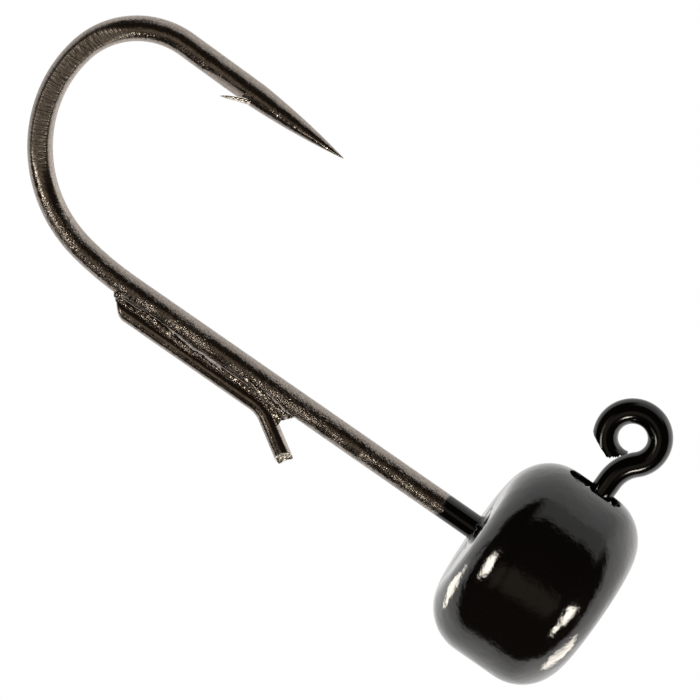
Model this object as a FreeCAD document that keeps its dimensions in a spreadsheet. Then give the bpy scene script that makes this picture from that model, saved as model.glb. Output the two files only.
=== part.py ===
"""A finesse jig head: a pill-shaped weight slotted for a bent hook, with a soldered wire bait keeper.

Frame, millimetres: the origin is the centre of the weight's rear face. +X runs along the weight's axis to
its nose, +Z points up to the line eye and the hook's point, and Y is square to the plane of the hook.
"""

import FreeCAD, Part
import math
import os
import Sketcher

os.makedirs("parts", exist_ok=True)
doc = FreeCAD.newDocument("jig_head")

DIMENSIONS = {
    # the weight, a pill turned about X
    "head_length": 5.88,
    "head_radius": 4.32,
    "head_corner": 2.0,
    # the wedge-shaped slot that the hook is threaded through
    "slot_width": 1.3,
    "slot_round": 0.6,
    "slot_back": 1.69,
    "slot_front": 4.09,
    "mouth_below": 0.65,
    "mouth_above": 1.15,
    "filler_recess": 0.2,
    "bead_reach": 0.25,
    "bead_rise": 0.13,
    "bead_sunk": 0.2,
    # the hook's wire, from the shank back round the bend
    "hook_wire": 1.03,
    "shank_rise": 0.15,
    "shank_back": 17.0,
    "sweep_radius": 12.9,
    "sweep_turn": 10.7,
    "heel_radius": 5.7,
    "heel_turn": 68.0,
    "side_radius": 5.25,
    "side_turn": 23.8,
    "crown_radius": 3.3,
    "crown_turn": 78.7,
    "spear_length": 3.46,
    "point_length": 4.2,
    "point_belly": 0.335,
    "point_tip": 0.02,
    # the barb, cut into the spear's inner side
    "barb_roll": 50.0,
    "cut_length": 2.0,
    "cut_depth": 0.15,
    "cut_offset": 0.45,
    "barb_offset": 1.22,
    "barb_height": 1.03,
    "barb_root": 0.3,
    "barb_sunk": 0.12,
    "barb_width": 0.36,
    # the neck and the line eye
    "elbow_radius": 1.2,
    "neck_forward": 3.16,
    "neck_curve": 1.6,
    "eye_height": 6.85,
    "eye_forward": 2.9,
    "eye_mean": 1.1,
    "eye_hole": 0.6,
    "eye_tail_turn": 168.0,
    "tail_cut_reach": 1.16,
    "tail_cut_angle": 66.0,
    # the bait keeper, a finer wire under the shank
    "keeper_wire": 0.7,
    "keeper_drop": 0.93,
    "keeper_end": 16.9,
    "keeper_spare": 0.5,
    "keeper_corner": 9.83,
    "keeper_bend": 1.5,
    "keeper_angle": 33.0,
    "keeper_leg": 1.98,
    "end_bevel": 48.0,
    "nip_bevel": 35.0,
    "nip_back": 0.18,
    # the solder between shank and keeper
    "solder_width": 0.56,
    "solder_back": 17.3,
    "solder_toe": 0.1,
    "solder_front": 8.6,
    "solder_foot": 8.95,
    "solder_waist": 8.93,
    "waist_drop": 0.36,
}

sheet = doc.addObject("Spreadsheet::Sheet", "Dimensions")
for row, (word, value) in enumerate(DIMENSIONS.items(), start=1):
    sheet.set(f"A{row}", word)
    sheet.set(f"B{row}", str(value))
    sheet.setAlias(f"B{row}", word)
doc.recompute()


def size(word):
    """The value that the sheet holds for a dimension."""
    return float(sheet.get(word))


def new_body(name):
    body = doc.addObject("PartDesign::Body", name)
    body.Label = name
    return body


def new_sketch(body, name, plane, offset=None):
    """A sketch on one of the body's own origin planes, moved off it by an optional placement."""
    sketch = body.newObject("Sketcher::SketchObject", name)
    support = [item for item in body.Origin.OriginFeatures if item.Role == plane][0]
    sketch.AttachmentSupport = [(support, "")]
    sketch.MapMode = "FlatFace"
    if offset is not None:
        sketch.AttachmentOffset = offset
    return sketch


def bound(sketch, formula, *constraint):
    """Adds a constraint to the sketch and binds its value to a formula of the sheet's dimensions."""
    value = float(sketch.evalExpression(formula))
    if constraint[0] == "Angle":
        value = math.radians(value)
    index = sketch.addConstraint(Sketcher.Constraint(*constraint, value))
    sketch.setExpression(f"Constraints[{index}]", formula)
    return index


def cell(word):
    return f"Dimensions.{word}"


def closed_outline(sketch, points):
    """Straight lines through the points and back to the first, joined end to end."""
    count = len(points)
    for start, end in zip(points, points[1:] + points[:1]):
        sketch.addGeometry(Part.LineSegment(FreeCAD.Vector(*start, 0), FreeCAD.Vector(*end, 0)), False)
    for line in range(count):
        sketch.addConstraint(Sketcher.Constraint("Coincident", line, 2, (line + 1) % count, 1))


def pin_points(sketch, places):
    """Fixes the start point of each line of an outline from the origin: (line, across, up), signed formulas.

    A formula that starts with a minus sign lies left of the origin, or under it.
    """
    for line, across, up in places:
        for kind, formula in (("DistanceX", across), ("DistanceY", up)):
            if formula == "0":
                axis = -2 if kind == "DistanceX" else -1
                sketch.addConstraint(Sketcher.Constraint("PointOnObject", line, 1, axis))
            elif formula.startswith("-"):
                bound(sketch, formula[1:], kind, line, 1, -1, 1)
            else:
                bound(sketch, formula, kind, -1, 1, line, 1)


def circle_sketch(body, name, plane, across, up, radius, formulas, offset=None):
    """One circle, its centre and radius bound to the three formulas."""
    sketch = new_sketch(body, name, plane, offset)
    sketch.addGeometry(Part.Circle(FreeCAD.Vector(across, up, 0), FreeCAD.Vector(0, 0, 1), radius), False)
    for kind, formula, axis in (("DistanceX", formulas[0], -2), ("DistanceY", formulas[1], -1)):
        if formula == "0":
            sketch.addConstraint(Sketcher.Constraint("PointOnObject", 0, 3, axis))
        elif formula.startswith("-"):
            bound(sketch, formula[1:], kind, 0, 3, -1, 1)
        else:
            bound(sketch, formula, kind, -1, 1, 0, 3)
    bound(sketch, formulas[2], "Radius", 0)
    return sketch


# ---- routes of bent wire -------------------------------------------------------------------------------


def wire_route(body, name, start, heading, steps):
    """A route sketch on XZ: runs and tangent arcs one after another.

    start is (x, z) with the two formulas that hold it, heading is in degrees, and each step is
    ("run", word) or ("turn", radius word, turn word, side), where side is 1 to the left and -1 to the right.
    Returns the sketch with the place and the heading where the route ends.
    """
    sketch = new_sketch(body, name, "XZ_Plane")
    x, z, across, up = start
    angle = math.radians(heading)
    previous_end = None
    for number, step in enumerate(steps):
        if step[0] == "run":
            reach = size(step[1])
            end_x, end_z = x + reach * math.cos(angle), z + reach * math.sin(angle)
            straight = Part.LineSegment(FreeCAD.Vector(x, z, 0), FreeCAD.Vector(end_x, end_z, 0))
            sketch.addGeometry(straight, False)
            first, last = 1, 2
            bound(sketch, cell(step[1]), "Distance", number)
            if number == 0:
                sketch.addConstraint(Sketcher.Constraint("Horizontal", 0))
        else:
            radius, turn, side = size(step[1]), math.radians(size(step[2])), step[3]
            towards = angle + side * math.pi / 2
            centre = FreeCAD.Vector(x + radius * math.cos(towards), z + radius * math.sin(towards), 0)
            low = angle - side * math.pi / 2
            high = low + side * turn
            circle = Part.Circle(centre, FreeCAD.Vector(0, 0, 1), radius)
            sketch.addGeometry(Part.ArcOfCircle(circle, min(low, high), max(low, high)), False)
            first, last = (1, 2) if side > 0 else (2, 1)
            angle += side * turn
            end_x = centre.x + side * radius * math.sin(angle)
            end_z = centre.y - side * radius * math.cos(angle)
            bound(sketch, cell(step[1]), "Radius", number)
            bound(sketch, cell(step[2]), "Angle", number)
        if number == 0:
            pin_points(sketch, [(0, across, up)])
        else:
            sketch.addConstraint(Sketcher.Constraint("Tangent", number - 1, previous_end, number, first))
        previous_end = last
        x, z = end_x, end_z
    return sketch, (x, z), math.degrees(angle)


def pipe(body, name, profile, route):
    feature = body.newObject("PartDesign::AdditivePipe", name)
    feature.Profile = profile
    feature.Spine = (route, [""])
    return feature


def tilted(x, z, angle, roll=0.0):
    """The placement within an XZ sketch plane of a local frame: its x runs along angle, rolled about it."""
    turn = FreeCAD.Rotation(FreeCAD.Vector(0, 0, 1), angle)
    return FreeCAD.Placement(FreeCAD.Vector(x, z, 0), turn * FreeCAD.Rotation(FreeCAD.Vector(1, 0, 0), roll))


# ---- the weight ----------------------------------------------------------------------------------------


def wedge_pocket(body, name, kind, top):
    """The slot's outline, straight down at the front and slanting back to the rear face's mouth."""
    sketch = new_sketch(body, name, "XZ_Plane")
    back, front = size("slot_back"), size("slot_front")
    low, high = -size("mouth_below"), size("mouth_above")
    brim = size("head_radius")
    points = [(0, low), (front, low), (front, brim), (back, brim), (0, high)]
    closed_outline(sketch, points)
    pin_points(sketch, [
        (0, "0", "-" + cell("mouth_below")),
        (1, cell("slot_front"), "-" + cell("mouth_below")),
        (2, cell("slot_front"), top),
        (3, cell("slot_back"), top),
        (4, "0", cell("mouth_above")),
    ])
    feature = body.newObject(kind, name + "_solid")
    feature.Profile = sketch
    feature.Midplane = True
    feature.setExpression("Length", cell("slot_width"))
    doc.recompute()
    return feature


def round_slot_ends(body, feature):
    """Rounds the slot's four upright corners, as an end mill leaves them, one side wall after the other."""
    half = size("slot_width") / 2
    for wall in (-half, half):
        names = []
        for number, edge in enumerate(feature.Shape.Edges, start=1):
            ends = [vertex.Point for vertex in edge.Vertexes]
            on_wall = len(ends) == 2 and all(abs(point.y - wall) < 0.01 for point in ends)
            if on_wall and abs(ends[0].z - ends[1].z) > 2.0:
                names.append(f"Edge{number}")
        fillet = body.newObject("PartDesign::Fillet", feature.Name + "_round")
        fillet.Base = (feature, names)
        fillet.setExpression("Radius", cell("slot_round"))
        doc.recompute()
        feature = fillet


def make_head_weight():
    """The tungsten-alloy pill: pressed and sintered, with round shoulders and flat end faces."""
    body = new_body("head_weight")
    length, radius, corner = size("head_length"), size("head_radius"), size("head_corner")
    sketch = new_sketch(body, "pill_outline", "XZ_Plane")
    vector = FreeCAD.Vector
    corners = [(corner, math.pi / 2, math.pi), (length - corner, 0, math.pi / 2)]
    sketch.addGeometry(Part.LineSegment(vector(0, 0, 0), vector(0, radius - corner, 0)), False)
    rear = Part.Circle(vector(corners[0][0], radius - corner, 0), vector(0, 0, 1), corner)
    sketch.addGeometry(Part.ArcOfCircle(rear, corners[0][1], corners[0][2]), False)
    sketch.addGeometry(Part.LineSegment(vector(corner, radius, 0), vector(length - corner, radius, 0)), False)
    front = Part.Circle(vector(corners[1][0], radius - corner, 0), vector(0, 0, 1), corner)
    sketch.addGeometry(Part.ArcOfCircle(front, corners[1][1], corners[1][2]), False)
    sketch.addGeometry(Part.LineSegment(vector(length, radius - corner, 0), vector(length, 0, 0)), False)
    sketch.addGeometry(Part.LineSegment(vector(length, 0, 0), vector(0, 0, 0)), False)
    for constraint in (
        ("Coincident", 0, 1, -1, 1),
        ("Coincident", 4, 2, 5, 1),
        ("Coincident", 5, 2, 0, 1),
        ("Vertical", 0),
        ("Vertical", 4),
        ("Horizontal", 2),
        ("Horizontal", 5),
        ("Tangent", 0, 2, 1, 2),
        ("Tangent", 1, 1, 2, 1),
        ("Tangent", 2, 2, 3, 2),
        ("Tangent", 3, 1, 4, 1),
        ("Equal", 1, 3),
    ):
        sketch.addConstraint(Sketcher.Constraint(*constraint))
    bound(sketch, cell("head_length"), "DistanceX", 5, 2, 5, 1)
    bound(sketch, cell("head_corner"), "Radius", 1)
    bound(sketch, f"{cell('head_radius')} - {cell('head_corner')}", "DistanceY", 0, 1, 0, 2)
    turned = body.newObject("PartDesign::Revolution", "pill")
    turned.Profile = sketch
    turned.ReferenceAxis = (sketch, ["H_Axis"])
    turned.Angle = 360
    doc.recompute()
    whole = body.Shape.Volume
    pocket = wedge_pocket(body, "hook_slot", "PartDesign::Pocket", cell("head_radius") + " + 0.1")
    if body.Shape.Volume > whole - 15:
        raise RuntimeError("the hook slot cut nothing out of the weight")
    round_slot_ends(body, pocket)
    return body


# ---- the hook ------------------------------------------------------------------------------------------


def make_hook():
    """The forged hook, one wire: line eye, neck, elbow inside the weight, shank, bend, spear and point."""
    body = new_body("hook")
    radius = size("hook_wire") / 2
    rise = size("shank_rise")
    section = circle_sketch(body, "wire_section", "YZ_Plane", 0, rise, radius,
                            ("0", cell("shank_rise"), cell("hook_wire") + " / 2"))
    back_route, spear_end, spear_heading = wire_route(
        body, "bend_route", (0, rise, "0", cell("shank_rise")), 180,
        [
            ("run", "shank_back"),
            ("turn", "sweep_radius", "sweep_turn", -1),
            ("turn", "heel_radius", "heel_turn", -1),
            ("turn", "side_radius", "side_turn", -1),
            ("turn", "crown_radius", "crown_turn", -1),
            ("run", "spear_length"),
        ],
    )
    pipe(body, "shank_and_bend", section, back_route)
    make_neck(body, section, radius, rise)
    make_point(body, spear_end, spear_heading, radius)
    cut_barb(body, spear_end, spear_heading)
    make_eye(body)
    doc.recompute()
    return body


def make_neck(body, section, radius, rise):
    """The hidden elbow, the neck in the slot, the curve into the eye, and the eye's near side to its top."""
    sketch = new_sketch(body, "neck_route", "XZ_Plane")
    vector = FreeCAD.Vector
    elbow, neck, curve = size("elbow_radius"), size("neck_forward"), size("neck_curve")
    eye_x, eye_z, mean = size("eye_forward"), size("eye_height"), size("eye_mean")
    across = neck + curve - eye_x
    drop = math.sqrt((curve + mean) ** 2 - across**2)
    lean = math.atan2(drop, across)
    turn_z = eye_z - drop
    sketch.addGeometry(Part.LineSegment(vector(0, rise, 0), vector(neck - elbow, rise, 0)), False)
    corner = Part.Circle(vector(neck - elbow, rise + elbow, 0), vector(0, 0, 1), elbow)
    sketch.addGeometry(Part.ArcOfCircle(corner, -math.pi / 2, 0), False)
    sketch.addGeometry(Part.LineSegment(vector(neck, rise + elbow, 0), vector(neck, turn_z, 0)), False)
    swing = Part.Circle(vector(neck + curve, turn_z, 0), vector(0, 0, 1), curve)
    sketch.addGeometry(Part.ArcOfCircle(swing, math.pi - lean, math.pi), False)
    ring = Part.Circle(vector(eye_x, eye_z, 0), vector(0, 0, 1), mean)
    sketch.addGeometry(Part.ArcOfCircle(ring, -lean, math.pi / 2), False)
    for constraint in (
        ("PointOnObject", 0, 1, -2),
        ("Horizontal", 0),
        ("Tangent", 0, 2, 1, 1),
        ("Tangent", 1, 2, 2, 1),
        ("Vertical", 2),
        ("Tangent", 2, 2, 3, 2),
        ("Tangent", 3, 1, 4, 1),
        ("Vertical", 4, 2, 4, 3),
    ):
        sketch.addConstraint(Sketcher.Constraint(*constraint))
    bound(sketch, cell("shank_rise"), "DistanceY", -1, 1, 0, 1)
    bound(sketch, cell("elbow_radius"), "Radius", 1)
    bound(sketch, cell("neck_forward"), "DistanceX", -1, 1, 2, 1)
    bound(sketch, cell("neck_curve"), "Radius", 3)
    bound(sketch, cell("eye_mean"), "Radius", 4)
    bound(sketch, cell("eye_forward"), "DistanceX", -1, 1, 4, 3)
    bound(sketch, cell("eye_height"), "DistanceY", -1, 1, 4, 3)
    pipe(body, "neck", section, sketch)


def make_point(body, spear_end, heading, radius):
    """The ground point: a slightly bellied cone in line with the spear."""
    sketch = new_sketch(body, "point_outline", "XZ_Plane", tilted(*spear_end, heading))
    vector = FreeCAD.Vector
    length, belly, tip = size("point_length"), size("point_belly"), size("point_tip")
    flank = Part.Arc(vector(0, radius, 0), vector(length / 2, belly, 0), vector(length, tip, 0))
    sketch.addGeometry(flank, False)
    first, last = (1, 2) if flank.StartPoint.x < flank.EndPoint.x else (2, 1)
    if sketch.getPoint(0, 1).x > sketch.getPoint(0, 2).x:
        first, last = 2, 1
    sketch.addGeometry(Part.LineSegment(vector(length, tip, 0), vector(length, 0, 0)), False)
    sketch.addGeometry(Part.LineSegment(vector(length, 0, 0), vector(0, 0, 0)), False)
    sketch.addGeometry(Part.LineSegment(vector(0, 0, 0), vector(0, radius, 0)), False)
    sketch.addGeometry(Part.Point(vector(length / 2, belly, 0)), True)
    for constraint in (
        ("Coincident", 0, last, 1, 1),
        ("Coincident", 1, 2, 2, 1),
        ("Coincident", 2, 2, 3, 1),
        ("Coincident", 3, 2, 0, first),
        ("Coincident", 2, 2, -1, 1),
        ("PointOnObject", 2, 1, -1),
        ("Vertical", 1),
        ("Vertical", 3),
        ("PointOnObject", 4, 1, 0),
    ):
        sketch.addConstraint(Sketcher.Constraint(*constraint))
    bound(sketch, cell("point_length"), "DistanceX", -1, 1, 2, 1)
    bound(sketch, cell("hook_wire") + " / 2", "DistanceY", 3, 1, 3, 2)
    bound(sketch, cell("point_tip"), "DistanceY", 1, 2, 1, 1)
    bound(sketch, cell("point_length") + " / 2", "DistanceX", -1, 1, 4, 1)
    bound(sketch, cell("point_belly"), "DistanceY", -1, 1, 4, 1)
    turned = body.newObject("PartDesign::Revolution", "point")
    turned.Profile = sketch
    turned.ReferenceAxis = (sketch, ["H_Axis"])
    turned.Angle = 360


def symmetric_cut(body, name, sketch, width):
    """A pocket that cuts half its width to each side of the sketch's plane."""
    cut = body.newObject("PartDesign::Pocket", name)
    cut.Profile = sketch
    cut.Midplane = True
    cut.Length = width
    return cut


def cut_barb(body, spear_end, heading):
    """The barb: a blade slices a long shallow facet into the spear and turns up the sliver at its end.

    Both sketches lie in a plane through the spear's axis, rolled round it, so y there is the barb's side
    and x is measured from the point's base.
    """
    local = tilted(*spear_end, heading, 180 - size("barb_roll"))
    surface, depth = size("hook_wire") / 2, size("cut_depth")
    cut_end = -size("cut_offset")
    cut_start = cut_end - size("cut_length")
    outside = surface + 2 * depth
    facet = new_sketch(body, "facet_outline", "XZ_Plane", local)
    closed_outline(facet, [(cut_start, surface), (cut_end, surface - depth),
                           (cut_end - 2 * depth, outside), (cut_start, outside)])
    sliver = new_sketch(body, "sliver_outline", "XZ_Plane", local)
    root, sunk = size("barb_root"), surface - size("barb_sunk")
    points = [(root, sunk), (0, surface), (-size("barb_offset"), size("barb_height")), (-root, sunk)]
    closed_outline(sliver, points)
    symmetric_cut(body, "barb_facet", facet, 2 * size("hook_wire"))
    barb = body.newObject("PartDesign::Pad", "barb_sliver")
    barb.Profile = sliver
    barb.Midplane = True
    barb.setExpression("Length", cell("barb_width"))


def make_eye(body):
    """The line eye's far side, turned on past its top, its end nipped off at a slant beside the neck."""
    vector = FreeCAD.Vector
    eye_x, eye_z, mean = size("eye_forward"), size("eye_height"), size("eye_mean")
    wire = size("hook_wire")
    middle = FreeCAD.Placement(vector(0, 0, eye_x), FreeCAD.Rotation())
    formulas = ("0", f"{cell('eye_height')} + {cell('eye_mean')}", cell("hook_wire") + " / 2")
    ring = circle_sketch(body, "eye_section", "YZ_Plane", 0, eye_z + mean, wire / 2, formulas, middle)
    ring.setExpression("AttachmentOffset.Base.z", cell("eye_forward"))
    ring.addGeometry(Part.LineSegment(vector(-wire, eye_z, 0), vector(wire, eye_z, 0)), True)
    ring.addConstraint(Sketcher.Constraint("Symmetric", 1, 1, 1, 2, -2))
    bound(ring, cell("eye_height"), "DistanceY", -1, 1, 1, 1)
    bound(ring, f"2 * {cell('hook_wire')}", "DistanceX", 1, 1, 1, 2)
    turned = body.newObject("PartDesign::Revolution", "eye_ring")
    turned.Profile = ring
    turned.ReferenceAxis = (ring, ["Axis0"])
    turned.Reversed = True
    turned.setExpression("Angle", cell("eye_tail_turn"))
    hole = circle_sketch(body, "eye_bore", "XZ_Plane", eye_x, eye_z, size("eye_hole"),
                         (cell("eye_forward"), cell("eye_height"), cell("eye_hole")))
    symmetric_cut(body, "eye_hole", hole, 2 * wire)
    # the nip's plane stands off the eye's centre, and everything past it goes
    nip = tilted(eye_x, eye_z, 180 + size("tail_cut_angle"))
    tail = new_sketch(body, "tail_bevel", "XZ_Plane", nip)
    reach, breadth = size("tail_cut_reach"), mean + wire
    beside_neck = mean / 3
    closed_outline(tail, [(reach, -breadth), (reach + wire, -breadth),
                          (reach + wire, beside_neck), (reach, beside_neck)])
    symmetric_cut(body, "tail_cut", tail, 2 * wire)


# ---- the bait keeper, the solder and the adhesive ------------------------------------------------------


def keeper_level():
    return size("shank_rise") - size("keeper_drop")


def make_bait_keeper():
    """A finer wire laid along the shank's underside; its front leg is bent out to hold a soft bait."""
    body = new_body("bait_keeper")
    radius = size("keeper_wire") / 2
    level = keeper_level()
    tangent = size("keeper_bend") * math.tan(math.radians(size("keeper_angle")) / 2)
    sketch = new_sketch(body, "keeper_route", "XZ_Plane")
    vector = FreeCAD.Vector
    slope = math.radians(size("keeper_angle"))
    rear, corner = -size("keeper_end") - size("keeper_spare"), -size("keeper_corner")
    bend, leg = size("keeper_bend"), size("keeper_leg")
    leg_start = vector(corner + tangent * math.cos(slope), level - tangent * math.sin(slope), 0)
    leg_end = leg_start + vector(leg * math.cos(slope), -leg * math.sin(slope), 0)
    sketch.addGeometry(Part.LineSegment(vector(rear, level, 0), vector(corner - tangent, level, 0)), False)
    circle = Part.Circle(vector(corner - tangent, level - bend, 0), vector(0, 0, 1), bend)
    sketch.addGeometry(Part.ArcOfCircle(circle, math.pi / 2 - slope, math.pi / 2), False)
    sketch.addGeometry(Part.LineSegment(leg_start, leg_end), False)
    for constraint in (
        ("Horizontal", 0),
        ("Tangent", 0, 2, 1, 2),
        ("Tangent", 1, 1, 2, 1),
    ):
        sketch.addConstraint(Sketcher.Constraint(*constraint))
    bound(sketch, f"{cell('keeper_end')} + {cell('keeper_spare')}", "DistanceX", 0, 1, -1, 1)
    bound(sketch, f"{cell('keeper_drop')} - {cell('shank_rise')}", "DistanceY", 0, 1, -1, 1)
    bound(sketch, cell("keeper_bend"), "Radius", 1)
    bound(sketch, cell("keeper_angle"), "Angle", 1)
    bound(sketch, cell("keeper_leg"), "Distance", 2)
    half_turn = f"tan({cell('keeper_angle')} * 1 deg / 2)"
    bound(sketch, f"{cell('keeper_corner')} + {cell('keeper_bend')} * {half_turn}", "DistanceX", 1, 2, -1, 1)
    at_rear = FreeCAD.Placement(vector(0, 0, rear), FreeCAD.Rotation())
    formulas = ("0", f"-({cell('keeper_drop')} - {cell('shank_rise')})", cell("keeper_wire") + " / 2")
    section = circle_sketch(body, "keeper_section", "YZ_Plane", 0, level, radius, formulas, at_rear)
    section.setExpression("AttachmentOffset.Base.z", f"-{cell('keeper_end')} - {cell('keeper_spare')}")
    pipe(body, "keeper_run", section, sketch)
    breadth = 3 * size("keeper_wire")
    # the rear end is nipped off at a slant that faces back and down
    slant = tilted(-size("keeper_end"), level, 180 - size("end_bevel") + 90)
    rear_cut = new_sketch(body, "rear_nip_outline", "XZ_Plane", slant)
    closed_outline(rear_cut, [(0, -breadth), (breadth, -breadth), (breadth, breadth), (0, breadth)])
    symmetric_cut(body, "rear_nip", rear_cut, breadth)
    # the front end is nipped off at a slant that faces one side
    lying = FreeCAD.Placement(vector(0, 0, 0), FreeCAD.Rotation(vector(1, 0, 0), 90))
    aside = FreeCAD.Placement(vector(0, 0, 0), FreeCAD.Rotation(vector(0, 0, 1), size("nip_bevel")))
    at_end = tilted(leg_end.x, leg_end.y, -size("keeper_angle")) * lying * aside
    front_cut = new_sketch(body, "front_nip_outline", "XZ_Plane", at_end)
    back_off = -size("nip_back")
    closed_outline(front_cut, [(back_off, -breadth), (breadth, -breadth),
                               (breadth, breadth), (back_off, breadth)])
    symmetric_cut(body, "front_nip", front_cut, 2 * breadth)
    doc.recompute()
    return body


def cut_by(base, tools, label):
    """The base less each tool, as boolean cuts that keep following their sources."""
    result = base
    for number, tool in enumerate(tools, start=1):
        cut = doc.addObject("Part::Cut", f"{label}_cut_{number}")
        cut.Base = result
        cut.Tool = tool
        result = cut
    result.Label = label
    doc.recompute()
    return result


def make_keeper_solder(hook, keeper):
    """Solder run into the gap between the two wires, thicker where the leg leaves the shank."""
    body = new_body("solder_web")
    rise, level = size("shank_rise"), keeper_level()
    slope = math.radians(size("keeper_angle"))
    back, front, foot = -size("solder_back"), -size("solder_front"), -size("solder_foot")
    corner = -size("keeper_corner")
    foot_level = level - (foot - corner) * math.tan(slope)
    sketch = new_sketch(body, "solder_outline", "XZ_Plane")
    underside = rise - size("hook_wire") / 2
    toe, waist = size("solder_toe"), -size("solder_waist")
    waist_level = underside - size("waist_drop")
    points = [(back, rise), (back + toe, underside - toe), (-size("keeper_end"), level), (corner, level),
              (foot, foot_level), (waist, waist_level), (front, underside), (front, rise)]
    closed_outline(sketch, points)
    pad = body.newObject("PartDesign::Pad", "web")
    pad.Profile = sketch
    pad.Midplane = True
    pad.setExpression("Length", cell("solder_width"))
    doc.recompute()
    return cut_by(body, (hook, keeper), "keeper_solder")


def make_adhesive_fill(hook):
    """Epoxy that beds the hook in the slot: a little low at the top, and a bead round the shank behind."""
    body = new_body("adhesive_block")
    top = f"{cell('head_radius')} - {cell('filler_recess')}"
    block = wedge_pocket(body, "fill_outline", "PartDesign::Pad", top)
    round_slot_ends(body, block)
    bead = new_sketch(body, "bead_outline", "XZ_Plane")
    rise, radius = size("shank_rise"), size("hook_wire") / 2
    reach, proud, sunk = size("bead_reach"), size("bead_rise"), size("bead_sunk")
    surface = rise + radius
    closed_outline(bead, [(sunk, rise), (-reach, rise), (-reach, surface), (-reach / 3, surface + proud / 3),
                          (0, surface + proud), (sunk, surface + proud)])
    bead.addGeometry(Part.LineSegment(FreeCAD.Vector(1, rise, 0), FreeCAD.Vector(-1, rise, 0)), True)
    turned = body.newObject("PartDesign::Revolution", "bead")
    turned.Profile = bead
    turned.ReferenceAxis = (bead, ["Axis0"])
    turned.Angle = 360
    doc.recompute()
    return cut_by(body, (hook,), "adhesive_fill")


def check_document():
    for item in doc.Objects:
        if "Invalid" in item.State or "Error" in item.State:
            raise RuntimeError(f"{item.Name} failed: {item.State}")


def export(pieces):
    doc.recompute()
    check_document()
    for piece in pieces:
        if piece.Shape.isNull() or not piece.Shape.isValid():
            raise RuntimeError(f"{piece.Label} has no valid shape")
    for piece in pieces:
        piece.Shape.exportStep(os.path.join("parts", piece.Label + ".step"))
        solids = len(piece.Shape.Solids)
        if solids != 1:
            raise RuntimeError(f"{piece.Label} came out as {solids} solids")
        print(f"{piece.Label}: {piece.Shape.Volume:.2f} mm3, {piece.Shape.BoundBox}")


head_weight = make_head_weight()
hook = make_hook()
bait_keeper = make_bait_keeper()
keeper_solder = make_keeper_solder(hook, bait_keeper)
adhesive_fill = make_adhesive_fill(hook)
export([head_weight, hook, bait_keeper, keeper_solder, adhesive_fill])
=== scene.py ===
import math
import bpy
from mathutils import Matrix, Vector


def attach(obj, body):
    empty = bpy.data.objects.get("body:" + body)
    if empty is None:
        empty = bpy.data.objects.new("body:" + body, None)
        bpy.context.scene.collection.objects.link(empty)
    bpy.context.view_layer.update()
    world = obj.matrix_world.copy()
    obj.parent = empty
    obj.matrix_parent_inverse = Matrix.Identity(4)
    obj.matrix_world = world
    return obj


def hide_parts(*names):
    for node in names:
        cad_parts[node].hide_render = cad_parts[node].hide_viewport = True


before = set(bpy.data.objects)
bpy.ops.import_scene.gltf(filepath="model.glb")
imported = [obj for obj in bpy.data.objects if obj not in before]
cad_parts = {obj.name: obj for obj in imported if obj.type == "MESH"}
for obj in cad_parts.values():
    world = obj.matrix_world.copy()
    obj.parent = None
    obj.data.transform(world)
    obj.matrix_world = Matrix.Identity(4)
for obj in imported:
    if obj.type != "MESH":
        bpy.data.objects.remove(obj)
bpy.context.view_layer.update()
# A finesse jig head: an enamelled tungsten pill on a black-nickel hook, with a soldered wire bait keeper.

scene = bpy.context.scene
mm = 0.001

# ---- The weight -----------------------------------------------------------------------------------------
# A pressed and sintered tungsten-alloy pill with a wedge slot for the hook. It is dipped in gloss black
# enamel together with the eye and the neck, so its surface is the enamel's: black, glassy, faintly wavy.


def linear(code):
    """An sRGB hex colour as linear RGBA."""
    parts = [int(code[i:i + 2], 16) / 255 for i in (1, 3, 5)]
    return tuple(c / 12.92 if c <= 0.04045 else ((c + 0.055) / 1.055) ** 2.4 for c in parts) + (1.0,)


def add_node(tree, kind, settings, inputs):
    """A node with its settings, and its inputs either set or linked."""
    made = tree.nodes.new(kind)
    for name, value in settings.items():
        setattr(made, name, value)
    for name, value in inputs.items():
        if isinstance(value, bpy.types.NodeSocket):
            tree.links.new(value, made.inputs[name])
        else:
            made.inputs[name].default_value = value
    return made


def new_material(name):
    material = bpy.data.materials.new(name)
    material.use_nodes = True
    tree = material.node_tree
    tree.nodes.clear()
    return material, tree, add_node(tree, "ShaderNodeTexCoord", {}, {}).outputs["Object"]


def dress(piece, material):
    """Gives the whole piece one material."""
    piece.data.materials.clear()
    piece.data.materials.append(material)


# Gloss black stoving enamel, a dipped resin film: the eye sees a near-mirror black, its lights gently bent by
# orange peel and frayed at their edges by dust under the film.
enamel, tree, place = new_material("gloss_black_enamel")
peel = add_node(tree, "ShaderNodeTexNoise", {}, {"Vector": place, "Scale": 0.8 / mm, "Detail": 2.5})
dust = add_node(tree, "ShaderNodeTexNoise", {}, {
    "Vector": place, "Scale": 5.0 / mm, "Detail": 3.0, "Roughness": 0.65})
swell = add_node(tree, "ShaderNodeBump", {}, {
    "Height": peel.outputs["Fac"], "Strength": 1.0, "Distance": 0.045 * mm})
specks = add_node(tree, "ShaderNodeBump", {}, {
    "Height": dust.outputs["Fac"], "Strength": 1.0, "Distance": 0.010 * mm,
    "Normal": swell.outputs["Normal"]})
gloss = add_node(tree, "ShaderNodeMapRange", {}, {
    "Value": dust.outputs["Fac"], "From Min": 0.35, "From Max": 0.7, "To Min": 0.05, "To Max": 0.12})
skin = add_node(tree, "ShaderNodeBsdfPrincipled", {}, {
    "Base Color": linear("#060504"), "Roughness": gloss.outputs["Result"], "IOR": 1.5,
    "Normal": specks.outputs["Normal"]})
add_node(tree, "ShaderNodeOutputMaterial", {}, {"Surface": skin.outputs["BSDF"]})


def alone(piece):
    """The only selected object, and the active one."""
    bpy.ops.object.select_all(action="DESELECT")
    piece.select_set(True)
    bpy.context.view_layer.objects.active = piece


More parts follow.
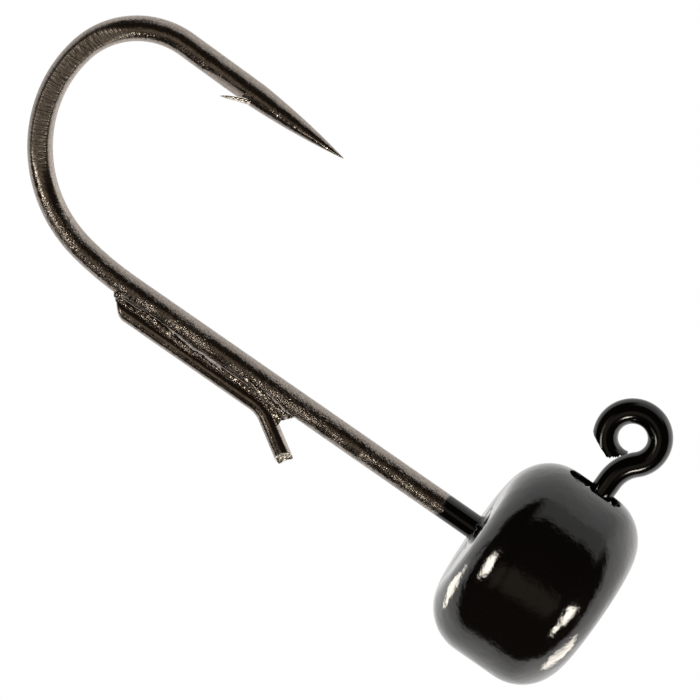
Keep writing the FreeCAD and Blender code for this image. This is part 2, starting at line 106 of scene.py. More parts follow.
def pick(piece, kind, test):
    """Selects the faces or the edges of a piece that pass a test, in edit mode."""
    alone(piece)
    bpy.ops.object.mode_set(mode="EDIT")
    bpy.ops.mesh.select_mode(type=kind)
    bpy.ops.mesh.select_all(action="DESELECT")
    bpy.ops.object.mode_set(mode="OBJECT")
    for part in piece.data.polygons if kind == "FACE" else piece.data.edges:
        part.select = test(part)
    bpy.ops.object.mode_set(mode="EDIT")


def finish_mesh(piece, angle=40):
    """Closed seams, faces outwards, soft curves and crisp edges."""
    alone(piece)
    bpy.ops.object.mode_set(mode="EDIT")
    bpy.ops.mesh.select_all(action="SELECT")
    bpy.ops.mesh.remove_doubles(threshold=0.001 * mm)
    bpy.ops.mesh.normals_make_consistent(inside=False)
    bpy.ops.object.mode_set(mode="OBJECT")
    bpy.ops.object.shade_smooth_by_angle(angle=math.radians(angle))


# the pill, lying along X with its rear face at the origin; it keeps a hair inside its envelope. All in mm.
pill_length, pill_radius, shoulder = 5.88, 4.318, 2.0
bpy.ops.object.select_all(action="DESELECT")
bpy.ops.mesh.primitive_cylinder_add(
    vertices=192, radius=pill_radius * mm, depth=pill_length * mm, end_fill_type="NGON",
    location=(pill_length / 2 * mm, 0, 0), rotation=(0, math.pi / 2, 0))
weight = bpy.context.object
weight.name = "weight"
bpy.ops.object.transform_apply(location=True, rotation=True, scale=True)
pick(weight, "FACE", lambda face: abs(face.normal.x) > 0.9)
bpy.ops.mesh.bevel(offset=shoulder * mm, segments=24, profile=0.5, affect="EDGES")
bpy.ops.object.mode_set(mode="OBJECT")

# the slot's tool: a block, its rear cut back to a slant, its upright corners rounded as an end mill does
slot_back, slot_front, slot_half, slot_round = 1.69, 4.09, 0.65, 0.6
mouth_below, mouth_above = 0.65, 1.15
tool_top, tool_back = pill_radius + 1, -0.5
bpy.ops.object.select_all(action="DESELECT")
bpy.ops.mesh.primitive_cube_add(
    size=1, location=((slot_front + tool_back) / 2 * mm, 0, (tool_top - mouth_below) / 2 * mm),
    scale=((slot_front - tool_back) * mm, 2 * slot_half * mm, (tool_top + mouth_below) * mm))
tool = bpy.context.object
bpy.ops.object.transform_apply(location=True, rotation=True, scale=True)
slant_normal = Vector((mouth_above - pill_radius, 0, slot_back)).normalized()
bpy.ops.object.mode_set(mode="EDIT")
bpy.ops.mesh.select_all(action="SELECT")
bpy.ops.mesh.bisect(
    plane_co=(0, 0, mouth_above * mm), plane_no=slant_normal, clear_outer=True, use_fill=True)
bpy.ops.object.mode_set(mode="OBJECT")


def upright(edge):
    """An edge of the tool's slanting rear or of its front that runs up and down the slot."""
    start, end = (tool.data.vertices[i].co for i in edge.vertices)
    run = end - start
    at_rear = abs(run.normalized().dot(slant_normal)) < 0.01 and abs(run.x) > 0.1 * mm
    at_front = min(start.x, end.x) > (slot_front - 0.01) * mm
    return abs(run.y) < 0.1 * mm and abs(run.z) > mm and (at_rear or at_front)


pick(tool, "EDGE", upright)
bpy.ops.mesh.bevel(offset=slot_round * mm, segments=12, affect="EDGES")
bpy.ops.object.mode_set(mode="OBJECT")
for piece in (weight, tool):
    finish_mesh(piece)
alone(weight)
milling = weight.modifiers.new("milling", "BOOLEAN")
milling.operation, milling.object, milling.solver = "DIFFERENCE", tool, "EXACT"
bpy.ops.object.modifier_apply(modifier=milling.name)
bpy.data.objects.remove(tool)
# the slot's rim, rounded by tumbling and by the film that flowed over it
rim_round = 0.07
tumbled = weight.modifiers.new("tumbled", "BEVEL")
tumbled.limit_method, tumbled.angle_limit = "ANGLE", math.radians(40)
tumbled.width, tumbled.segments, tumbled.use_clamp_overlap = rim_round * mm, 3, False
bpy.ops.object.modifier_apply(modifier=tumbled.name)
finish_mesh(weight, angle=60)
dress(weight, enamel)
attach(weight, "root")
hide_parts("head_weight")

# ---- The adhesive ---------------------------------------------------------------------------------------
# Two-part epoxy run into the slot round the hook: it stands a little low at the top, creeps up the neck, and
# leaves a small bead round the shank at the rear. It is under the same enamel as the weight.


def copy_of_node(name, node):
    """A new piece that starts as a copy of a CAD node, its loose triangles merged."""
    made = bpy.data.objects.new(name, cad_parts[node].data.copy())
    scene.collection.objects.link(made)
    alone(made)
    bpy.ops.object.mode_set(mode="EDIT")
    bpy.ops.mesh.select_all(action="SELECT")
    bpy.ops.mesh.remove_doubles(threshold=0.0005 * mm)
    bpy.ops.object.mode_set(mode="OBJECT")
    bpy.ops.mesh.customdata_custom_splitnormals_clear()
    return made


def skin_over(piece, voxel, rounds):
    """Runs the piece's parts together under one skin and lets its corners flow round."""
    alone(piece)
    flow = piece.modifiers.new("flow", "REMESH")
    flow.mode, flow.voxel_size, flow.use_smooth_shade = "VOXEL", voxel * mm, True
    bpy.ops.object.modifier_apply(modifier=flow.name)
    ease = piece.modifiers.new("ease", "SMOOTH")
    ease.factor, ease.iterations = 0.5, rounds
    bpy.ops.object.modifier_apply(modifier=ease.name)


def join_into(piece, others):
    alone(piece)
    for other in others:
        other.select_set(True)
    bpy.ops.object.join()


filler = copy_of_node("slot_filler", "adhesive_fill")
filler_top, neck_x, neck_radius = 4.12, 3.16, 0.515
creep_gap, creep_thick = 0.01, 0.08
bpy.ops.object.select_all(action="DESELECT")
bpy.ops.mesh.primitive_torus_add(
    major_segments=48, minor_segments=16, location=(neck_x * mm, 0, filler_top * mm),
    major_radius=(neck_radius + creep_gap) * mm, minor_radius=creep_thick * mm)
creep = bpy.context.object
bpy.ops.object.transform_apply(location=True, rotation=True, scale=True)
join_into(filler, [creep])
skin_over(filler, voxel=0.05, rounds=4)
dress(filler, enamel)
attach(filler, "root")
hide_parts("adhesive_fill")

# ---- The hook -------------------------------------------------------------------------------------------
# One high-carbon steel wire: eye turned and nipped, shank straight, bend formed and then forged between
# flat dies, point ground, barb sliced up with a blade, and the whole plated with black nickel.


def wire_end(name, x, z, radius, corners=48):
    """A ring square to X, the start of a piece of wire that is then drawn out."""
    bpy.ops.object.select_all(action="DESELECT")
    bpy.ops.mesh.primitive_circle_add(
        vertices=corners, radius=radius * mm, fill_type="NOTHING", location=(x * mm, 0, z * mm),
        rotation=(0, math.pi / 2, 0))
    made = bpy.context.object
    made.name = name
    bpy.ops.object.transform_apply(location=True, rotation=True, scale=True)
    bpy.ops.object.mode_set(mode="EDIT")
    bpy.ops.mesh.select_all(action="SELECT")
    return made


def draw_out(reach, heading):
    """Draws the selected ring out along a heading in the plane of the hook, in degrees from +X to +Z."""
    step = (reach * mm * math.cos(math.radians(heading)), 0, reach * mm * math.sin(math.radians(heading)))
    bpy.ops.mesh.extrude_region_move(TRANSFORM_OT_translate={"value": step})


def turn_round(x, z, degrees, steps):
    """Turns the selected ring round a point in the plane of the hook, from +X towards +Z."""
    bpy.ops.mesh.spin(steps=steps, angle=math.radians(degrees), center=(x * mm, 0, z * mm), axis=(0, 1, 0))


def at(x, z, reach, heading):
    """The point at a reach and heading from another."""
    return x + reach * math.cos(math.radians(heading)), z + reach * math.sin(math.radians(heading))


# the wire runs a little above the weight's axis, and keeps a hair inside its own envelope
wire, rise = 1.03, 0.15
half_wire = wire / 2 - 0.003
# the shank, then the bend in four arcs, back to the spear: (radius, turn) each
shank_length, spear_length = 17.0, 3.46
bend_arcs = ((12.9, 10.7), (5.7, 68.0), (5.25, 23.8), (3.3, 78.7))
heading = 180.0
hook = wire_end("hook_wire", 0, rise, half_wire)
draw_out(shank_length, heading)
spot = (-shank_length, rise)
for radius, turn in bend_arcs:
    centre = at(*spot, radius, heading - 90)
    turn_round(*centre, -turn, max(4, round(turn / 2.5)))
    heading -= turn
    spot = at(*centre, radius, heading + 90)
draw_out(spear_length, heading)
spear_end = at(*spot, spear_length, heading)
# the ground point, a cone with a slight belly
point_length, belly, tip, stations = 4.2, 0.335, 0.02, 14
sag = (half_wire + tip) / 2 - belly
spot, girth = spear_end, half_wire
for station in range(1, stations + 1):
    share = station / stations
    draw_out(point_length / stations, heading)
    spot = at(*spot, point_length / stations, heading)
    wanted = half_wire + (tip - half_wire) * share - 4 * sag * share * (1 - share)
    bpy.ops.transform.resize(value=(wanted / girth,) * 3, center_override=(spot[0] * mm, 0, spot[1] * mm))
    girth = wanted
bpy.ops.mesh.edge_face_add()
bpy.ops.object.mode_set(mode="OBJECT")

# the neck: an elbow hidden in the weight, then up and round to the top of the eye
elbow, neck, curve = 1.2, 3.16, 1.6
eye_x, eye_z, eye_mean = 2.9, 6.85, 1.1
swing_x = neck + curve
drop = math.sqrt((curve + eye_mean) ** 2 - (swing_x - eye_x) ** 2)
lean = math.degrees(math.atan2(drop, swing_x - eye_x))
neck_wire = wire_end("neck_wire", 0, rise, half_wire)
draw_out(neck - elbow, 0)
turn_round(neck - elbow, rise + elbow, 90, 12)
draw_out(eye_z - drop - rise - elbow, 90)
turn_round(swing_x, eye_z - drop, -lean, 16)
turn_round(eye_x, eye_z, 90 + lean, 30)
bpy.ops.object.mode_set(mode="OBJECT")
# the tail, from the top of the eye on round, nipped off at a slant where it meets the neck
tail_turn, tail_steps = 196, 49
tail = wire_end("tail_wire", eye_x, eye_z + eye_mean, half_wire)
turn_round(eye_x, eye_z, tail_turn, tail_steps)
bpy.ops.object.mode_set(mode="OBJECT")


def nip(piece, point, normal, soften=0.04, segments=2):
    """Cuts off all that lies past a plane, closes the cut and rounds its edge a little."""
    alone(piece)
    bpy.ops.object.mode_set(mode="EDIT")
    bpy.ops.mesh.select_all(action="SELECT")
    bpy.ops.mesh.bisect(plane_co=[c * mm for c in point], plane_no=normal, clear_outer=True)
    bpy.ops.mesh.edge_face_add()
    if soften:
        bpy.ops.mesh.bevel(offset=soften * mm, segments=segments, affect="EDGES")
    bpy.ops.object.mode_set(mode="OBJECT")


# the cutters' two strokes: one along the neck, and one that takes off the corner left outside the ring
neck_stroke, neck_facing = (eye_x - 0.35, 0, eye_z - 1.04), (0.69, 0, -0.72)
nip(tail, neck_stroke, neck_facing, soften=0)
corner_reach, slant = 1.16, math.radians(246)
outward = (math.cos(slant), 0, math.sin(slant))
corner_stroke = (eye_x + corner_reach * outward[0], 0, eye_z + corner_reach * outward[2])
nip(tail, corner_stroke, outward, soften=0)

# forging: the bend is squeezed between flat dies, so its two sides are flat and it is a little wider
flat_half, crowning, bend_start = 0.38, 0.05, -18.0
die_bottom, die_low, die_top, die_high = 1.4, 2.8, 8.9, 7.9
for vertex in hook.data.vertices:
    x, y, z = (c / mm for c in vertex.co)
    low_end = min(1.0, max(0.0, (z - die_bottom) / (die_low - die_bottom)))
    high_end = min(1.0, max(0.0, (die_top - z) / (die_top - die_high)))
    pressed = low_end * high_end if x < bend_start else 0.0
    pressed = pressed * pressed * (3 - 2 * pressed)
    flat = min(abs(y), flat_half + crowning * (abs(y) / half_wire) ** 2)
    vertex.co.y = math.copysign(abs(y) + (flat - abs(y)) * pressed, y) * mm

# the barb: a blade cuts a long shallow facet into the spear's inner side and turns up a sliver at its end.
# Along the spear, x runs from the spear's end towards the point.
turned = Matrix.Rotation(math.radians(-heading), 4, "Y")
barb_side = Matrix.Rotation(math.radians(138), 4, "X")
spear = Matrix.Translation((spear_end[0] * mm, 0, spear_end[1] * mm)) @ turned @ barb_side
cut_start, cut_end, cut_depth, clear = -2.45, -0.45, 0.15, 0.5
bpy.ops.object.select_all(action="DESELECT")
bpy.ops.mesh.primitive_cube_add(size=1)
blade = bpy.context.object
for vertex in blade.data.vertices:
    near_end, outer = vertex.co.x > 0, vertex.co.z > 0
    x = cut_end if near_end else cut_start
    z = half_wire - cut_depth if near_end else half_wire
    if outer:
        x, z = (cut_end - 2 * cut_depth if near_end else cut_start), half_wire + clear
    vertex.co = (x * mm, vertex.co.y * 3 * wire * mm, z * mm)
blade.data.transform(spear)
alone(hook)
slicing = hook.modifiers.new("slicing", "BOOLEAN")
slicing.operation, slicing.object, slicing.solver = "DIFFERENCE", blade, "EXACT"
bpy.ops.object.modifier_apply(modifier=slicing.name)
bpy.data.objects.remove(blade)

# the sliver, thickest at its root and hooked back to a fine tip
bpy.ops.object.select_all(action="DESELECT")
bpy.ops.mesh.primitive_cube_add(size=1)
barb = bpy.context.object
# (place along the spear, height over the wire's middle, thickness, breadth) each
root, sunk = 0.34, half_wire - 0.16
stations = ((root, sunk - 0.05, 0.06, 0.30), (0.0, sunk + 0.06, 0.16, 0.36), (-0.35, 0.535, 0.22, 0.38),
            (-0.75, 0.735, 0.15, 0.30), (-1.05, 0.90, 0.09, 0.2), (-1.24, 1.02, 0.02, 0.05))
for vertex in barb.data.vertices:
    x, level, thick, broad = stations[1] if vertex.co.x < 0 else stations[0]
    vertex.co = (x * mm, vertex.co.y * broad * mm, (level + vertex.co.z * thick) * mm)
bpy.ops.object.mode_set(mode="EDIT")
bpy.ops.mesh.select_all(action="DESELECT")
bpy.ops.object.mode_set(mode="OBJECT")
for face in barb.data.polygons:
    face.select = face.normal.x < -0.9
bpy.ops.object.mode_set(mode="EDIT")
for before, after in zip(stations[1:], stations[2:]):
    step = ((after[0] - before[0]) * mm, 0, (after[1] - before[1]) * mm)
    bpy.ops.mesh.extrude_region_move(TRANSFORM_OT_translate={"value": step})
    bpy.ops.transform.resize(value=(1, after[3] / before[3], after[2] / before[2]),
                             center_override=(after[0] * mm, 0, after[1] * mm))
bpy.ops.object.mode_set(mode="OBJECT")
barb.data.transform(spear)
rounding = barb.modifiers.new("rounding", "SUBSURF")
rounding.levels = rounding.render_levels = 2
bpy.ops.object.modifier_apply(modifier=rounding.name)

# Black nickel over bare forged steel: the eye sees dark warm metal that sparkles, because the thin plate
# copies the steel's pits. Pits and die marks are drawn coarser than the real ones, too fine to show here.
# The line eye, the neck and the first 1.7 mm of shank wear the weight's enamel, with a ragged edge.
nickel, tree, place = new_material("black_nickel_plate")
spot_on = add_node(tree, "ShaderNodeSeparateXYZ", {}, {"Vector": place})
pits = add_node(tree, "ShaderNodeTexNoise", {}, {
    "Vector": place, "Scale": 10.0 / mm, "Detail": 2.0, "Roughness": 0.6})
patch = add_node(tree, "ShaderNodeTexNoise", {}, {"Vector": place, "Scale": 1.3 / mm, "Detail": 2.0})
# where the dies pressed the bend: no pits, but fine marks that run across the wire
pressed_x = add_node(tree, "ShaderNodeMapRange", {"interpolation_type": "SMOOTHSTEP"}, {
    "Value": spot_on.outputs["X"], "From Min": -17.6 * mm, "From Max": -18.8 * mm})
pressed_low = add_node(tree, "ShaderNodeMapRange", {"interpolation_type": "SMOOTHSTEP"}, {
    "Value": spot_on.outputs["Z"], "From Min": 1.6 * mm, "From Max": 2.8 * mm})
pressed_high = add_node(tree, "ShaderNodeMapRange", {"interpolation_type": "SMOOTHSTEP"}, {
    "Value": spot_on.outputs["Z"], "From Min": 9.2 * mm, "From Max": 8.0 * mm})
pressed_z = add_node(tree, "ShaderNodeMath", {"operation": "MULTIPLY"}, {
    0: pressed_low.outputs["Result"], 1: pressed_high.outputs["Result"]})
pressed = add_node(tree, "ShaderNodeMath", {"operation": "MULTIPLY"}, {
    0: pressed_x.outputs["Result"], 1: pressed_z.outputs["Value"]})
# the bend is smoother than the shank: the pits fade above its lower end
smooth = add_node(tree, "ShaderNodeMapRange", {"interpolation_type": "SMOOTHSTEP"}, {
    "Value": spot_on.outputs["Z"], "From Min": 0.7 * mm, "From Max": 2.2 * mm,
    "To Min": 1.0, "To Max": 0.4})
# the die marks point at the middle of the bend: fine along the arc, long across the wire
bend_middle, bend_mean, stretch = (-17.1 * mm, 0, 6.2 * mm), 6.0 * mm, 0.15
from_centre = add_node(tree, "ShaderNodeVectorMath", {"operation": "SUBTRACT"}, {0: place, 1: bend_middle})
spoke = add_node(tree, "ShaderNodeSeparateXYZ", {}, {"Vector": from_centre.outputs["Vector"]})
round_bend = add_node(tree, "ShaderNodeMath", {"operation": "ARCTAN2"}, {
    0: spoke.outputs["Z"], 1: spoke.outputs["X"]})
arc = add_node(tree, "ShaderNodeMath", {"operation": "MULTIPLY"}, {
    0: round_bend.outputs["Value"], 1: bend_mean})
out = add_node(tree, "ShaderNodeVectorMath", {"operation": "LENGTH"}, {0: from_centre.outputs["Vector"]})
little = add_node(tree, "ShaderNodeMath", {"operation": "MULTIPLY"}, {0: out.outputs["Value"], 1: stretch})
across_wire = add_node(tree, "ShaderNodeCombineXYZ", {}, {
    "X": arc.outputs["Value"], "Y": little.outputs["Value"]})
marks = add_node(tree, "ShaderNodeTexNoise", {}, {
    "Vector": across_wire.outputs["Vector"], "Scale": 12.0 / mm, "Detail": 2.0})
coarse = add_node(tree, "ShaderNodeMapRange", {}, {
    "Value": patch.outputs["Fac"], "From Min": 0.40, "From Max": 0.62, "To Min": 0.35, "To Max": 1.0})
eased = add_node(tree, "ShaderNodeMath", {"operation": "MULTIPLY"}, {
    0: coarse.outputs["Result"], 1: smooth.outputs["Result"]})
relief = add_node(tree, "ShaderNodeMath", {"operation": "MULTIPLY"}, {
    0: pits.outputs["Fac"], 1: eased.outputs["Value"]})
surface = add_node(tree, "ShaderNodeMix", {}, {
    "Factor": pressed.outputs["Value"], "A": relief.outputs["Value"], "B": marks.outputs["Fac"]})
# the enamel's ragged edge on the shank
ragged = add_node(tree, "ShaderNodeTexNoise", {}, {"Vector": place, "Scale": 1.8 / mm, "Detail": 4.0})
edge = add_node(tree, "ShaderNodeMath", {"operation": "MULTIPLY_ADD"}, {
    0: ragged.outputs["Fac"], 1: 1.1 * mm, 2: spot_on.outputs["X"]})
bare = add_node(tree, "ShaderNodeMapRange", {}, {
    "Value": edge.outputs["Value"], "From Min": -1.22 * mm, "From Max": -1.12 * mm,
    "To Min": 1.0, "To Max": 0.0})
uneven = add_node(tree, "ShaderNodeMath", {"operation": "MULTIPLY"}, {
    0: surface.outputs["Result"], 1: bare.outputs["Result"]})
pitted = add_node(tree, "ShaderNodeBump", {}, {
    "Height": uneven.outputs["Value"], "Strength": 1.0, "Distance": 0.046 * mm})
dull = add_node(tree, "ShaderNodeMapRange", {}, {
    "Value": pits.outputs["Fac"], "From Min": 0.35, "From Max": 0.68, "To Min": 0.12, "To Max": 0.30})
die_dull, enamel_gloss = 0.38, 0.13
matte = add_node(tree, "ShaderNodeMix", {}, {
    "Factor": pressed.outputs["Value"], "A": dull.outputs["Result"], "B": die_dull})
rough = add_node(tree, "ShaderNodeMix", {}, {
    "Factor": bare.outputs["Result"], "A": enamel_gloss, "B": matte.outputs["Result"]})
tone = add_node(tree, "ShaderNodeMix", {"data_type": "RGBA"}, {
    "Factor": pits.outputs["Fac"], "A": linear("#B0A79F"), "B": linear("#6B625A")})
colour = add_node(tree, "ShaderNodeMix", {"data_type": "RGBA"}, {
    "Factor": bare.outputs["Result"], "A": linear("#050504"), "B": tone.outputs["Result"]})
plate = add_node(tree, "ShaderNodeBsdfPrincipled", {}, {
    "Base Color": colour.outputs["Result"], "Metallic": bare.outputs["Result"],
    "Roughness": rough.outputs["Result"], "Normal": pitted.outputs["Normal"]})
add_node(tree, "ShaderNodeOutputMaterial", {}, {"Surface": plate.outputs["BSDF"]})
# Carbon steel that the blade or the cutters laid open: bare steel on a crystalline break, lighter and warmer
# than the plate; the near-white middle of each crystal cell is a painted glint
torn, tree, place = new_material("cut_steel_painted_glints")
crystal = add_node(tree, "ShaderNodeTexVoronoi", {}, {"Vector": place, "Scale": 8.0 / mm})
# the ramp paints each cell near-white at its middle, a painted glint, and bare steel's own warm grey towards
# its edges
shade = add_node(tree, "ShaderNodeValToRGB", {}, {"Fac": crystal.outputs["Distance"]})
shade.color_ramp.elements[0].color = linear("#FFFAF0")
shade.color_ramp.elements[1].color, shade.color_ramp.elements[1].position = linear("#8A7A68"), 0.9
facets = add_node(tree, "ShaderNodeBump", {}, {
    "Height": crystal.outputs["Distance"], "Strength": 1.0, "Distance": 0.014 * mm})
skin = add_node(tree, "ShaderNodeBsdfPrincipled", {}, {
    "Base Color": shade.outputs["Color"], "Metallic": 1.0, "Roughness": 0.25,
    "Normal": facets.outputs["Normal"]})
add_node(tree, "ShaderNodeOutputMaterial", {}, {"Surface": skin.outputs["BSDF"]})
dress(barb, torn)
for piece in (hook, neck_wire, tail):
    dress(piece, nickel)
join_into(hook, [neck_wire, tail, barb])
finish_mesh(hook)
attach(hook, "root")
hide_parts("hook")
# flagged off from the weight, whose gloss would mirror the eye
hook.visible_glossy = False

# ---- The bait keeper ------------------------------------------------------------------------------------
# A finer steel wire laid along the underside of the shank, its front end bent out as a leg that bites into
# the bait. Both ends are nipped off with cutters, and it went through the same nickel bath as the hook.
keeper_radius, keeper_level = 0.35, rise - 0.93
keeper_corner, keeper_bend, keeper_angle, leg = -9.83, 1.5, 33.0, 1.98
bend_x = keeper_corner - keeper_bend * math.tan(math.radians(keeper_angle) / 2)
keeper_start = -17.4
keeper = wire_end("bait_keeper_wire", keeper_start, keeper_level, keeper_radius, corners=40)
draw_out(bend_x - keeper_start, 0)
turn_round(bend_x, keeper_level - keeper_bend, -keeper_angle, 12)
draw_out(leg, -keeper_angle)
bpy.ops.mesh.edge_face_add()
bpy.ops.object.mode_set(mode="OBJECT")
finish_mesh(keeper)
end_slant = math.radians(222)
keeper_end = -16.9
rearward = (math.cos(end_slant), 0, math.sin(end_slant))
nip(keeper, (keeper_end, 0, keeper_level), rearward, soften=0.2, segments=5)
leg_end = at(*at(bend_x, keeper_level - keeper_bend, keeper_bend, 90 - keeper_angle), leg, -keeper_angle)
slope, aside = math.radians(keeper_angle), math.radians(35)
facing = Vector((math.cos(slope) * math.cos(aside), -math.sin(aside), -math.sin(slope) * math.cos(aside)))
nip_back, torn_depth = 0.18, 0.16
cut_at = Vector((leg_end[0], 0, leg_end[1])) - facing * nip_back
nip(keeper, cut_at, facing, soften=0.03)
# the nipped face, torn as the cutters part the wire
pick(keeper, "FACE", lambda face: face.normal.dot(facing) > 0.98)
bpy.ops.mesh.inset(thickness=0.04 * mm)
bpy.ops.mesh.poke()
bpy.ops.mesh.subdivide(number_cuts=3)
bpy.ops.transform.vertex_random(offset=0.022 * mm, uniform=1.0, normal=0.5, seed=4)
bpy.ops.object.mode_set(mode="OBJECT")
finish_mesh(keeper, angle=50)

# Drawn wire under the same black nickel: the eye sees the hook's metal, but smoother, with longer lights
drawn = nickel.copy()
drawn.name = "nickelled_drawn_wire"
drawn.node_tree.nodes["Bump"].inputs["Distance"].default_value = 0.012 * mm
dress(keeper, drawn)
keeper.data.materials.append(torn)
for face in keeper.data.polygons:
    if (face.center / mm - cut_at).dot(facing) > -torn_depth:
        face.material_index = 1
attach(keeper, "root")
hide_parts("bait_keeper")

# ---- The solder -----------------------------------------------------------------------------------------
# Tin solder run between shank and keeper: a web in the gap, with lumps and runs where it wetted the side
# of the shank. It froze grainy, and the nickel plate went over it.
solder = copy_of_node("keeper_solder_run", "keeper_solder")
# lumps and runs, (x, y, z, half length, half breadth, half height, lean in degrees) each
lumps = []
for x, y, z, long, broad, high, lean in (
    (-17.16, -0.30, -0.24, 0.20, 0.20, 0.22, 0),
    (-14.6, -0.36, -0.36, 1.5, 0.12, 0.17, -5),
    (-12.7, -0.36, -0.40, 0.7, 0.14, 0.12, -3),
    (-10.1, -0.36, -0.22, 1.25, 0.18, 0.20, -9),
    (-9.05, -0.14, -0.42, 0.30, 0.32, 0.24, -24),
    (-16.0, 0.30, -0.42, 1.1, 0.12, 0.11, 1),
    (-12.6, 0.30, -0.40, 1.6, 0.11, 0.12, -1),
    (-9.6, 0.33, -0.30, 0.9, 0.14, 0.16, -6),
):
    bpy.ops.object.select_all(action="DESELECT")
    bpy.ops.mesh.primitive_ico_sphere_add(
        subdivisions=4, radius=1, location=(x * mm, y * mm, z * mm), rotation=(0, -math.radians(lean), 0),
        scale=(long * mm, broad * mm, high * mm))
    bpy.ops.object.transform_apply(location=True, rotation=True, scale=True)
    lumps.append(bpy.context.object)
join_into(solder, lumps)
skin_over(solder, voxel=0.032, rounds=3)
frost = bpy.data.textures.new("frost", "CLOUDS")
frost.noise_scale, frost.noise_depth = 0.11 * mm, 1
grainy = solder.modifiers.new("grainy", "DISPLACE")
grainy.texture, grainy.texture_coords, grainy.mid_level, grainy.strength = frost, "LOCAL", 0.5, 0.05 * mm
bpy.ops.object.modifier_apply(modifier=grainy.name)
# Frosted solder: the same plate over a grain twice as coarse, so the eye sees it sparkle against the wire.
# The grain is drawn coarser than the real one, which is too fine to show.
frosted = nickel.copy()
frosted.name = "nickelled_solder"
frosted.node_tree.nodes["Bump"].inputs["Distance"].default_value = 0.12 * mm
frosted.node_tree.nodes["Noise Texture"].inputs["Scale"].default_value = 5.0 / mm
dress(solder, frosted)
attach(solder, "root")
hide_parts("keeper_solder")

# ---- The camera -----------------------------------------------------------------------------------------
# It looks at the hook's flat side from a little above, rolled so that the shank runs down to the weight. It
# stands far off, so that the part is drawn almost without perspective.
azimuth, elevation, roll = math.radians(-3), math.radians(13), math.radians(34.8)
back = Vector((
    math.sin(azimuth) * math.cos(elevation), -math.cos(azimuth) * math.cos(elevation), math.sin(elevation)))
right = (Vector((1, 0, 0)) - back * back.x).normalized()
up = back.cross(right)
aim = right * (-8.272 * mm) + up * (3.12 * mm)
across = right * math.cos(roll) + up * math.sin(roll)
upward = up * math.cos(roll) - right * math.sin(roll)
distance, field = 300 * mm, 28 * mm
camera = bpy.data.objects.new("camera", bpy.data.cameras.new("camera"))
scene.collection.objects.link(camera)
stance = Matrix((across, upward, back)).transposed().to_4x4()
camera.matrix_world = Matrix.Translation(aim + back * distance) @ stance
sensor = 36
camera.data.sensor_width = sensor
camera.data.lens = sensor * distance / field
camera.data.clip_start = 0.01
scene.camera = camera

# ---- The stage and the light ----------------------------------------------------------------------------
# White paper far below, and a white surround that wraps the object from behind, so that its outline is lit
# and its face is dark. Small warm lamps put the lights on the paint and along the wire.
floor_drop, floor_radius = 250 * mm, 400 * mm
bpy.ops.mesh.primitive_circle_add(
    vertices=96, radius=floor_radius, fill_type="NGON", location=(0, 0, -floor_drop))
floor = bpy.context.object
floor.name = "floor"
# White card paper, lit through: the eye sees a plain white ground with no grain
paper, tree, place = new_material("white_paper")
skin = add_node(tree, "ShaderNodeBsdfPrincipled", {}, {
    "Base Color": linear("#F4F4F2"), "Roughness": 0.9,
    "Emission Color": linear("#FFFFFF"), "Emission Strength": 0.5})
add_node(tree, "ShaderNodeOutputMaterial", {}, {"Surface": skin.outputs["BSDF"]})
dress(floor, paper)
floor.visible_glossy = False

world = bpy.data.worlds.new("studio")
scene.world = world
world.use_nodes = True
tree = world.node_tree
tree.nodes.clear()
ray = add_node(tree, "ShaderNodeTexCoord", {}, {}).outputs["Generated"]
# the surround's dark mouth points a little left of the camera and below it
left, low = math.radians(6), math.radians(10)
front = (back - right * math.tan(left) - up * math.tan(low)).normalized()
along = {}
for name, axis in (("front", front), ("camera", back), ("sky", up), ("side", right)):
    along[name] = add_node(
        tree, "ShaderNodeVectorMath", {"operation": "DOT_PRODUCT"}, {0: ray, 1: axis}).outputs["Value"]
aside = add_node(tree, "ShaderNodeMath", {"operation": "ABSOLUTE"}, {0: along["side"]})
along["aside"] = aside.outputs["Value"]
# the parts of the surround: behind the object, a window overhead, and a brighter right. Each eases in from
# start to end along its axis, to its most.
part = {}
for name, axis, start, end, most in (
    ("behind", "front", 0.05, -0.08, 1.0),
    ("far", "camera", 0.60, 0.50, 0.66),
    ("high", "sky", 0.24, 0.40, 1.0),
    ("middle", "aside", 0.62, 0.30, 1.0),
    ("right", "side", 0.2, 0.6, 1.0),
):
    part[name] = add_node(tree, "ShaderNodeMapRange", {"interpolation_type": "SMOOTHSTEP"}, {
        "Value": along[axis], "From Min": start, "From Max": end, "To Max": most}).outputs["Result"]
overhead = add_node(tree, "ShaderNodeMath", {"operation": "MULTIPLY"}, {0: part["far"], 1: part["high"]})
window = add_node(tree, "ShaderNodeMath", {"operation": "MULTIPLY"}, {
    0: overhead.outputs["Value"], 1: part["middle"]})
lit = add_node(tree, "ShaderNodeMath", {"operation": "MAXIMUM"}, {
    0: part["behind"], 1: window.outputs["Value"]})
# the room in front, dim and warm, with two softly lit patches, (side, level, near, width in radians) each
dim, patch_light = (0.022, 0.017, 0.013, 1.0), (0.27, 0.225, 0.175, 1.0)
for side, level, near, wide in ((0.03, -0.34, 0.94, 0.24), (-0.45, -0.40, 0.80, 0.20)):
    toward = (right * side + up * level + back * near).normalized()
    facing_it = add_node(tree, "ShaderNodeVectorMath", {"operation": "DOT_PRODUCT"}, {0: ray, 1: toward})
    glow_here = add_node(tree, "ShaderNodeMapRange", {"interpolation_type": "SMOOTHSTEP"}, {
        "Value": facing_it.outputs["Value"],
        "From Min": math.cos(1.4 * wide), "From Max": math.cos(0.5 * wide)})
    dim = add_node(tree, "ShaderNodeMix", {"data_type": "RGBA"}, {
        "Factor": glow_here.outputs["Result"], "A": dim, "B": patch_light}).outputs["Result"]
white = add_node(tree, "ShaderNodeMix", {"data_type": "RGBA"}, {
    "Factor": part["right"], "A": (1.05, 1.04, 1.03, 1.0), "B": (1.6, 1.58, 1.56, 1.0)})
room = add_node(tree, "ShaderNodeMix", {"data_type": "RGBA"}, {
    "Factor": lit.outputs["Value"], "A": dim, "B": white.outputs["Result"]})
seen = add_node(tree, "ShaderNodeLightPath", {}, {}).outputs["Is Camera Ray"]
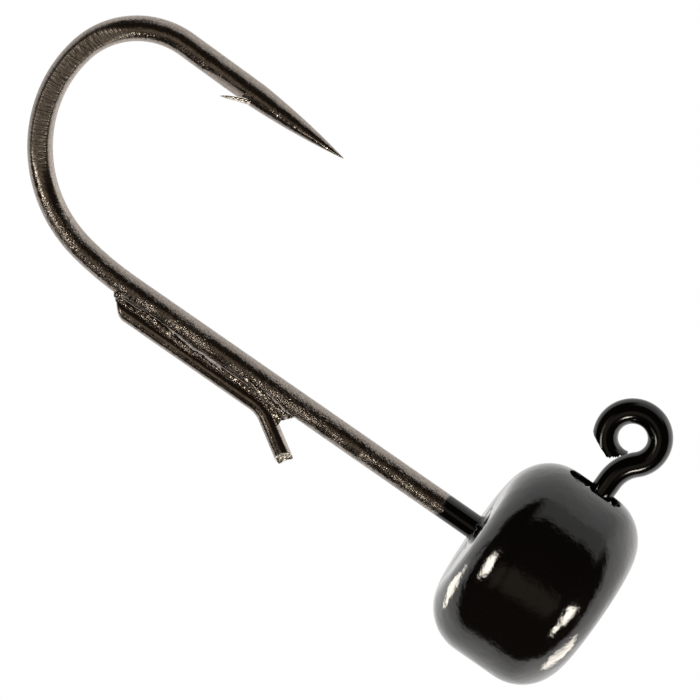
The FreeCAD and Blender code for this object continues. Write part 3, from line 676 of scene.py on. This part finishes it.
shown = add_node(tree, "ShaderNodeMix", {"data_type": "RGBA"}, {
    "Factor": seen, "A": room.outputs["Result"], "B": (1.0, 1.0, 1.0, 1.0)})
glow = add_node(tree, "ShaderNodeBackground", {}, {"Color": shown.outputs["Result"]})
add_node(tree, "ShaderNodeOutputWorld", {}, {"Surface": glow.outputs["Background"]})

# flags between the lamps and the object keep each lamp to the paint or to the wire. Each lamp has a
# direction as (side, height, near), a width and a height in mm, and its radiance.
reached = {"paint": bpy.data.collections.new("paint"), "wire": bpy.data.collections.new("wire")}
reached["paint"].objects.link(weight)
for piece in (hook, keeper, solder):
    reached["wire"].objects.link(piece)
lamp_distance = 500 * mm
for name, lit_piece, (side, height, near), width, tall, radiance in (
    ("left_strip", "paint", (-0.84, -0.27, 0.45), 130, 150, 30.0),
    ("right_strip", "paint", (0.75, -0.24, 0.62), 170, 150, 30.0),
    ("right_dot", "paint", (0.66, -0.52, 0.55), 80, 80, 30.0),
    ("low_left", "paint", (-0.71, -0.37, -0.60), 170, 170, 9.0),
    ("low_right", "paint", (0.80, -0.42, -0.43), 190, 200, 9.0),
    ("wire_right", "wire", (0.46, -0.66, 0.60), 80, 80, 22.0),
    ("wire_left", "wire", (-0.32, -0.69, 0.65), 80, 110, 9.0),
    ("wire_card", "wire", (-0.30, -0.72, 0.60), 120, 400, 0.9),
):
    toward = (right * side + up * height + back * near).normalized()
    lamp = bpy.data.objects.new(name, bpy.data.lights.new(name, "AREA"))
    scene.collection.objects.link(lamp)
    lamp.data.shape = "RECTANGLE"
    lamp.data.size, lamp.data.size_y = width * mm, tall * mm
    lamp.data.color = (1.0, 0.93, 0.82)
    lamp.data.energy = radiance * math.pi * lamp.data.size * lamp.data.size_y
    level = up.cross(toward).normalized()
    lamp.matrix_world = Matrix.Translation(toward * lamp_distance) @ Matrix(
        (level, toward.cross(level), toward)).transposed().to_4x4()
    lamp.visible_camera = False
    lamp.light_linking.receiver_collection = reached[lit_piece]
scene.view_settings.view_transform = "Standard"
